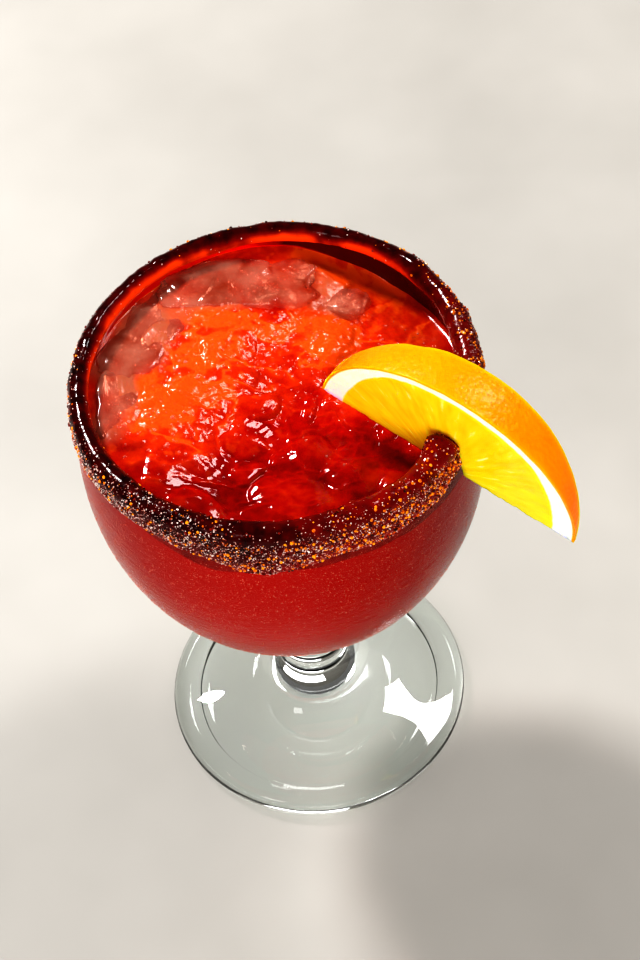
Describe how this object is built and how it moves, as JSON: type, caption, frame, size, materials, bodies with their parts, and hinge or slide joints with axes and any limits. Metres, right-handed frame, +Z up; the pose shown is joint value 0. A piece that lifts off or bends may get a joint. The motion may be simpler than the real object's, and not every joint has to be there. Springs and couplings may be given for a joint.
{
  "type": "margarita cocktail",
  "caption": "Iced red margarita in a footed goblet, its rim coated in thick seasoned sauce and carrying an orange wedge.",
  "frame": {"origin": "centre of the foot's resting ring, on the table", "axes": "+Z up along the glass's axis; the orange wedge sits on the rim towards +X and a little towards -Y"},
  "size_m": [0.1349, 0.114, 0.188],
  "materials": {
    "glass": "clear soda-lime glass",
    "drink": "red iced cocktail, wet and partly clear",
    "sauce": "thick dark red sauce with salt and chili grains",
    "orange": "fresh orange, waxy peel, white pith and wet flesh"
  },
  "bodies": {
    "root": {"glass": "glass", "drink": "drink", "rim_sauce": "sauce", "orange_wedge": "orange"}
  },
  "joints": []
}
